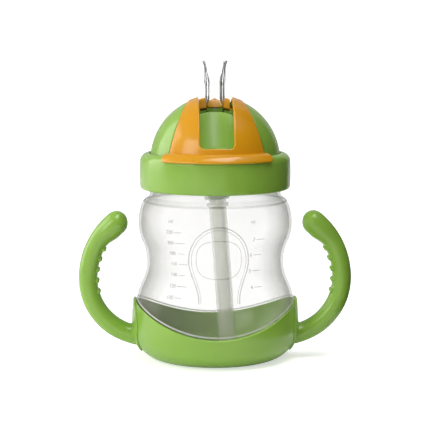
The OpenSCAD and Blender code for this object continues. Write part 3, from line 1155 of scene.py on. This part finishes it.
def hinge_pins():
    """The pins that the shutter turns on, each with a head that keeps its eye in place."""
    profile = [(0, 0), (2.2, 0), (2.2, 2.4), (3.1, 2.45), (3.1, 3.1), (2.8, 3.4), (0, 3.4)]
    parts = []
    for side in (-1, 1):
        turn = Matrix.Rotation(math.radians(90 * side), 4, "Y")
        place = Matrix.Translation((side * (TOWER_W - 0.5), 0, DOME_Z))
        parts.append(moved(lathe(profile, 40), place @ turn))
    return parts


def dome_lid():
    dome_shell()
    parts = join(trough_block(), pocket_wall(), pocket_floor(), *hinge_pins())
    add_piece("spout_tower", parts, TROUGH_GREEN, "lid", "green_plastic")


def cover_lip():
    """The flared lip that drapes over the collar's shoulder."""
    rho = COLLAR_SHOULDER + 0.4
    centre_r = COLLAR_R - COLLAR_SHOULDER
    centre_z = COLLAR_HIGH - COLLAR_SHOULDER
    around_r = 31
    reach = math.radians(72) * rho
    root = 1.6
    wide = around_r * math.radians(46.8)
    tip = around_r * math.radians(45)
    right = [(tip, -reach), (wide, 0), (wide, root)]
    left = [(-u, v) for u, v in right[::-1]]
    front = [(u, -reach) for u in np.linspace(-tip, tip, 60)]
    back = [(u, root) for u in np.linspace(wide, -wide, 60)]
    loop = spaced(outline([left, front, right, back], [0.9, 0.9, 0.3, 0.3]), 0.7)

    def lift(u, v, height):
        a = u / around_r
        if v >= 0:
            r = centre_r - v
            z = centre_z + rho + height
        else:
            t = math.pi / 2 + v / rho
            r = centre_r + (rho + height) * math.cos(t)
            z = centre_z + (rho + height) * math.sin(t)
        return r * math.sin(a), -r * math.cos(a), z

    return panel([loop], edge_rows(0, 1.15, 0.3, 0.5), lift, 1.4)


def front_cover():
    """The orange cover: a slice of a sphere with the window cut in from its back edge."""
    middle_a = 31
    bottom = 4.9
    lift, flat = sphere_lift(COVER_R, middle_a)
    right = side_line(COVER_R, SIDE_D, COVER_BACK, angle_at_height(bottom, COVER_R, SIDE_D))
    w = WINDOW_W
    stretches = [
        cross_line(-w, -right[0].x, COVER_BACK, COVER_R),
        mirrored(right)[::-1],
        level_line(right[-1].x, bottom, COVER_R)[::-1],
        right[::-1],
        cross_line(right[0].x, w, COVER_BACK, COVER_R),
        length_line(w, COVER_BACK, WINDOW_LOW, COVER_R),
        cross_line(w, -w, WINDOW_LOW, COVER_R),
        length_line(-w, WINDOW_LOW, COVER_BACK, COVER_R),
    ]
    cuts = [1.2, 0.3, 0.3, 1.2, 0.6, 2.6, 2.6, 0.6]
    loop = spaced(outline([[flat(p) for p in line] for line in stretches], cuts), 0.6)
    sheet = panel([loop], edge_rows(COVER_IN - COVER_R, 0, 0.3, 0.5), lift, 1.5)
    add_piece("cover_panel", join(sheet, cover_lip()), ORANGE, "lid", "orange_plastic", "front_cover")


def shutter_strip():
    """The curved strip that slides over the window."""

    def lift(u, v, height):
        return tuple(dome_point(u, math.degrees(v / SHUTTER_OUT), SHUTTER_OUT + height) + DOME_C)

    back = math.radians(SHUTTER_BACK) * SHUTTER_OUT
    front = math.radians(SHUTTER_FRONT) * SHUTTER_OUT
    w = SHUTTER_W
    right = [(w, v) for v in np.linspace(back, front, 40)]
    left = [(-u, v) for u, v in right[::-1]]
    loop = outline([right, [(w, front), (-w, front)], left, [(-w, back), (w, back)]], [0.4, 0.4, 4, 4])
    return panel([spaced(loop, 0.9)], edge_rows(SHUTTER_IN - SHUTTER_OUT, 0, 0.3, 0.35), lift, 1.6)


def shutter_ridge():
    """The thumb ridge across the shutter's front end."""
    rings = []
    half = 7.5
    soft = 0.9
    stations = [(soft * (1 - cosd(a)) - half, 0.72 + 0.28 * sind(a)) for a in range(0, 90, 15)]
    middle = [(x, 1) for x in np.linspace(soft - half, half - soft, 16)]
    mid = (RIDGE_BACK + SHUTTER_FRONT) / 2
    thick = (SHUTTER_FRONT - RIDGE_BACK) / 2
    for x, s in stations + middle + [(-x, s) for x, s in stations[::-1]]:
        drop = RIDGE_R - math.sqrt(RIDGE_R**2 - x * x)
        top = RIDGE_R - drop - (1 - s) * 1.6
        low = SHUTTER_OUT - 0.9 - drop
        depth = math.radians(thick) * RIDGE_R * s
        section = rounded([(-depth, low), (depth, low), (depth, top), (-depth, top)], [0, 0, 0.75, 0.75], 6)
        spots = [(-r * sind(mid) - d * cosd(mid), r * cosd(mid) - d * sind(mid)) for d, r in section]
        rings.append([(x, y, z + DOME_Z) for y, z in spots])
    return loft(rings)


def shutter_cheek(side):
    """The arm that carries the strip, with the eye that turns on the pin."""
    eye = 2.27
    hub = 4.2
    far = SHUTTER_IN - 1.6
    half = 5.2
    turn = math.degrees(math.atan2(half, far))
    root = arc((0, 0), hub, 52, 308, 28)
    end = arc((0, 0), math.hypot(far, half), -turn, turn, 10)
    loop = outline([root, [root[-1], (far, -half)], end, [(far, half), root[0]]], [1.5, 0.4, 0.4, 1.5])
    loop = spaced(loop, 0.8)
    hole = [(eye * cosd(a), eye * sind(a)) for a in range(0, -360, -12)]
    thick = 1.4
    spin = 58

    def lift(u, v, height):
        x = side * (SHUTTER_W - thick + height)
        y = u * sind(spin) + v * cosd(spin)
        z = u * cosd(spin) - v * sind(spin)
        return x, y, z + DOME_Z

    return panel([loop, hole], edge_rows(0, thick, 0.25, 0.25), lift, 1.6)


def slide_shutter():
    parts = join(shutter_strip(), shutter_ridge(), shutter_cheek(-1), shutter_cheek(1))
    add_piece("shutter_strip", parts, ORANGE, "shutter", "orange_plastic", "slide_shutter")


# ---- straw


def tube_between(z0, z1, n):
    """A stretch of the spout as a profile, slimmer at the upper fold."""
    zs = np.linspace(z0, z1, n)
    slim = [0.7 * max(0, 1 - ((z - FOLD_HIGH) / FOLD_REACH) ** 2) ** 2 for z in zs]
    return [(SPOUT_R - d, z) for z, d in zip(zs, slim)] + [(SPOUT_BORE, z) for z in zs[::-1]]


def mouth_between(z0, top):
    """The mouth end as a profile: a step, a cone-shaped bore and a rolled lip."""
    lip = SPOUT_R + 1.2
    bore = SPOUT_R + 0.2
    step = SPOUT_R + 0.35
    outside = [(SPOUT_R, z) for z in np.linspace(z0, STEP_Z - 0.5, 6)]
    outside += [(SPOUT_R + 0.08, STEP_Z - 0.1), (step - 0.06, STEP_Z + 0.15), (step, STEP_Z + 0.5)]
    outside += [(step, z) for z in np.linspace(STEP_Z + 1.5, top - 3.4, 4)]
    outside += [(step + 0.12, top - 2.9), (lip - 0.5, top - 1.7)]
    outside += arc((lip - 0.5, top - 0.5), 0.5, -40, 170, 12)
    inside = [(bore - 0.1, top - 1), (bore - 0.4, top - 2.4)]
    inside += [(SPOUT_BORE + 0.75, top - 5), (SPOUT_BORE + 0.25, top - 8.4)]
    return outside + inside + [(SPOUT_BORE, z) for z in np.linspace(STEP_Z, z0, 6)]


def spout():
    """The soft spout in three pieces: a base over the lower fold, a middle over the upper fold,
    and the mouth end above them."""
    foot = spout_low.z
    between = (FOLD_LOW + FOLD_HIGH) / 2
    above = FOLD_HIGH + FOLD_REACH
    pieces = []
    for name, profile, body, node in (
        ("spout_lower", tube_between(foot, between, 46), "lid", "spout_base"),
        ("spout_middle", tube_between(between, above, 22), "spout_link", "spout_neck"),
        ("spout_mouth_end", mouth_between(above, SPOUT_TOP), "spout_tip", "spout_mouth"),
    ):
        part = moved(lathe(profile, 96), Matrix.Translation((0, SPOUT_Y, 0)))
        pieces.append(add_clear(name, part, CLEAR, body, "clear_silicone", node))
    base, middle, mouth = pieces
    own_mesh(mouth)
    base.parent = None
    middle.parent = None
    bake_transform(base)
    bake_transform(middle)


def hung(part):
    """Leans a part about the point where the straw hangs from the lid."""
    lean = Matrix.Rotation(math.radians(-TUBE_LEAN), 4, "Y")
    return moved(part, Matrix.Translation((0, SPOUT_Y, HUNG_Z)) @ lean)


def straw_connector():
    profile = (
        [(4.5, -5.8)]
        + arc((SLEEVE_R - 0.4, -6.2), 0.4, 90, 0, 4)
        + [(SLEEVE_R, -9.4), (SLEEVE_R + 0.2, -9.8), (SLEEVE_R + 0.2, -10.8), (SLEEVE_R, -11.2)]
        + arc((SLEEVE_R - 0.6, -13.8), 0.6, 0, -90, 5)
        + [(TUBE_R + 0.02, -14.4), (TUBE_R + 0.02, -10), (4.5, -9.8)]
    )
    part = hung(lathe(profile, 96))
    add_piece("connector_sleeve", part, MILKY, "lid", "milky_silicone", "straw_connector")


def dip_tube():
    length = 85.8
    bore = TUBE_R - 1.1
    profile = (
        [(bore, -10.4), (TUBE_R, -10.4), (TUBE_R, -16.5)]
        + arc((5.0, -17.0), 0.4, 110, 0, 4)
        + arc((5.0, -17.9), 0.4, 0, -90, 4)
        + [(TUBE_R + 0.1, -18.4), (TUBE_R, -18.8)]
        + [(TUBE_R, z) for z in np.linspace(-24, -length + 0.4, 16)]
        + arc((TUBE_R - 0.35, -length + 0.35), 0.35, -10, -90, 3)
        + arc((bore + 0.35, -length + 0.35), 0.35, -90, -180, 3)
    )
    add_piece("dip_tube_wall", hung(lathe(profile, 96)), TUBE, "lid", "tube_plastic", "dip_tube")


def hidden_nodes():
    """The plate, the seal and the valve keep their CAD shape and get procedural materials."""
    for name, material in (("inner_plate", PALE_GREEN), ("seal_ring", CLEAR), ("vent_valve", MILKY)):
        node = frame["nodes"][name]
        node.data.materials.clear()
        node.data.materials.append(material)


# ---- camera, stage and lights


def aimed(name, data, place, towards):
    """An object at a place, in metres, that looks in a direction."""
    thing = add_object(name, data)
    thing.location = place
    thing.rotation_mode = "QUATERNION"
    thing.rotation_quaternion = towards.to_track_quat("-Z", "Y")
    return thing


def add_camera():
    eye = Vector((-0.030, -0.86, 0.173))
    target = Vector((0.0004, 0, 0.0695))
    lens = bpy.data.cameras.new("camera")
    lens.lens = 149
    lens.sensor_width = 36
    lens.clip_start = 0.05
    lens.clip_end = 50
    bpy.context.scene.camera = aimed("camera", lens, eye, target - eye)


def softbox(name, azimuth, elevation, distance, width, height, power):
    """A rectangular light that looks at the cup; azimuth 0 is the front and 90 the right."""
    light = bpy.data.lights.new(name, "AREA")
    light.shape = "RECTANGLE"
    light.size = width
    light.size_y = height
    light.energy = power
    out = Vector((sind(azimuth) * cosd(elevation), -cosd(azimuth) * cosd(elevation), sind(elevation)))
    return aimed(name, light, Vector((0, 0, 0.08)) + out * distance, -out)


def along_axis(tree, space, axis, ends):
    """A place along an axis, in a space's own coordinates, mapped from its two ends."""
    place = add(tree, "ShaderNodeTexCoord", {}, space)
    value = add(tree, "ShaderNodeSeparateXYZ", {"Vector": place}, axis)
    return add(tree, "ShaderNodeMapRange", {"Value": value, **ends}, "Result")


def stage_material():
    """A plain pale floor that stays close to white, and glows more where it is seen directly."""
    material, tree, shader = start_material("stage_white")
    path = tree.nodes.new("ShaderNodeLightPath").outputs
    seen = combine(tree, "MAXIMUM", path["Is Camera Ray"], path["Is Transmission Ray"])
    glow = along_axis(tree, "Object", "Y", {"From Min": 0.2, "From Max": 1.4, "To Min": 0.58, "To Max": 0.85})
    strength = add(tree, "ShaderNodeMapRange", {"Value": seen, "To Min": 0.1, "To Max": glow}, "Result")
    put(tree, shader, {
        "Base Color": ramp(tree, noise(tree, 3, 2), 0.9, 0.93),
        "Roughness": 0.9,
        "Specular IOR Level": 0.0,
        "Emission Color": (1, 1, 1, 1),
        "Emission Strength": strength,
    })
    return material


def stage_piece(name, verts, faces, material):
    """A piece of the studio, in metres, that isn't part of the cup."""
    mesh = bpy.data.meshes.new(name)
    mesh.from_pydata(verts, [], faces)
    mesh.materials.append(material)
    piece = add_object(name, mesh)
    return piece


def add_stage():
    """A floor that sweeps up into a wall behind the cup."""
    half = 4
    sweep = 0.8
    start = 1.6
    profile = [(-half, 0), (start, 0)] + arc((start, sweep), sweep, -80, 0, 8) + [(start + sweep, half)]
    verts = [(x, y, z) for y, z in profile for x in (-half, half)]
    faces = [[2 * i, 2 * i + 1, 2 * i + 3, 2 * i + 2] for i in range(len(profile) - 1)]
    stage_piece("stage", verts, faces, stage_material()).data.shade_smooth()


def add_card(name, verts):
    """A dark card just out of view. It casts no shadow, and the camera doesn't see it."""
    material, tree, shader = start_material(name)
    put(tree, shader, {"Base Color": ramp(tree, noise(tree, 5, 2), 0.01, 0.02), "Roughness": 0.9})
    card = stage_piece(name, verts, [range(i, i + 4) for i in range(0, len(verts), 4)], material)
    card.visible_camera = False
    card.visible_shadow = False
    return card


def upright(x, y0, y1, low=0.002, top=0.45):
    """The corners of an upright card that faces sideways."""
    return [(x, y0, low), (x, y1, low), (x, y1, top), (x, y0, top)]


def add_cards():
    """One card keeps light off the right side; two behind draw the dark edges of the clear spout."""
    y0, y1, near, far, lying = -0.5, 0.12, 0.09, 0.6, 0.001
    on_floor = [(near, y0, lying), (far, y0, lying), (far, y1, lying), (near, y1, lying)]
    dark_side = add_card("card_right", upright(0.128, y0, y1) + on_floor)
    dark_side.visible_transmission = False
    for name, x in (("card_edge_left", -0.16), ("card_edge_right", 0.16)):
        edge = add_card(name, upright(x, 0.15, 0.8))
        edge.visible_diffuse = False
        edge.visible_glossy = False


def add_world():
    """A room that is bright at the left and dark at the right."""
    world = bpy.data.worlds.new("studio")
    bpy.context.scene.world = world
    world.use_nodes = True
    tree = world.node_tree
    across = along_axis(tree, "Generated", "X", {"From Min": -1, "From Max": 1})
    grey = ramp(tree, across, 1.0, 0.02, 0, 1)
    grey.node.color_ramp.elements.new(0.5).color = (0.5, 0.5, 0.5, 1)
    put(tree, tree.nodes["Background"], {"Color": grey, "Strength": 0.45})


def add_lights():
    softbox("key", -49, 25, 1.2, 0.55, 0.55, 3)
    softbox("wide", -105, 20, 1.2, 0.9, 1.0, 6.5)
    softbox("top", 50, 72, 1.1, 0.9, 0.7, 9)
    fill = softbox("fill", -34, 5, 1.6, 0.5, 0.5, 4.5)
    fill.visible_glossy = False


# ---- the scene

add_camera()
bpy.context.scene.view_settings.view_transform = "Standard"
add_stage()
add_cards()
add_world()
add_lights()

bottle()
scale_marks()
front_relief()
rim_bead()
base_cup()
handle(-1)
handle(1)
screw_collar()
dome_lid()
front_cover()
slide_shutter()
spout()
straw_connector()
dip_tube()
hidden_nodes()
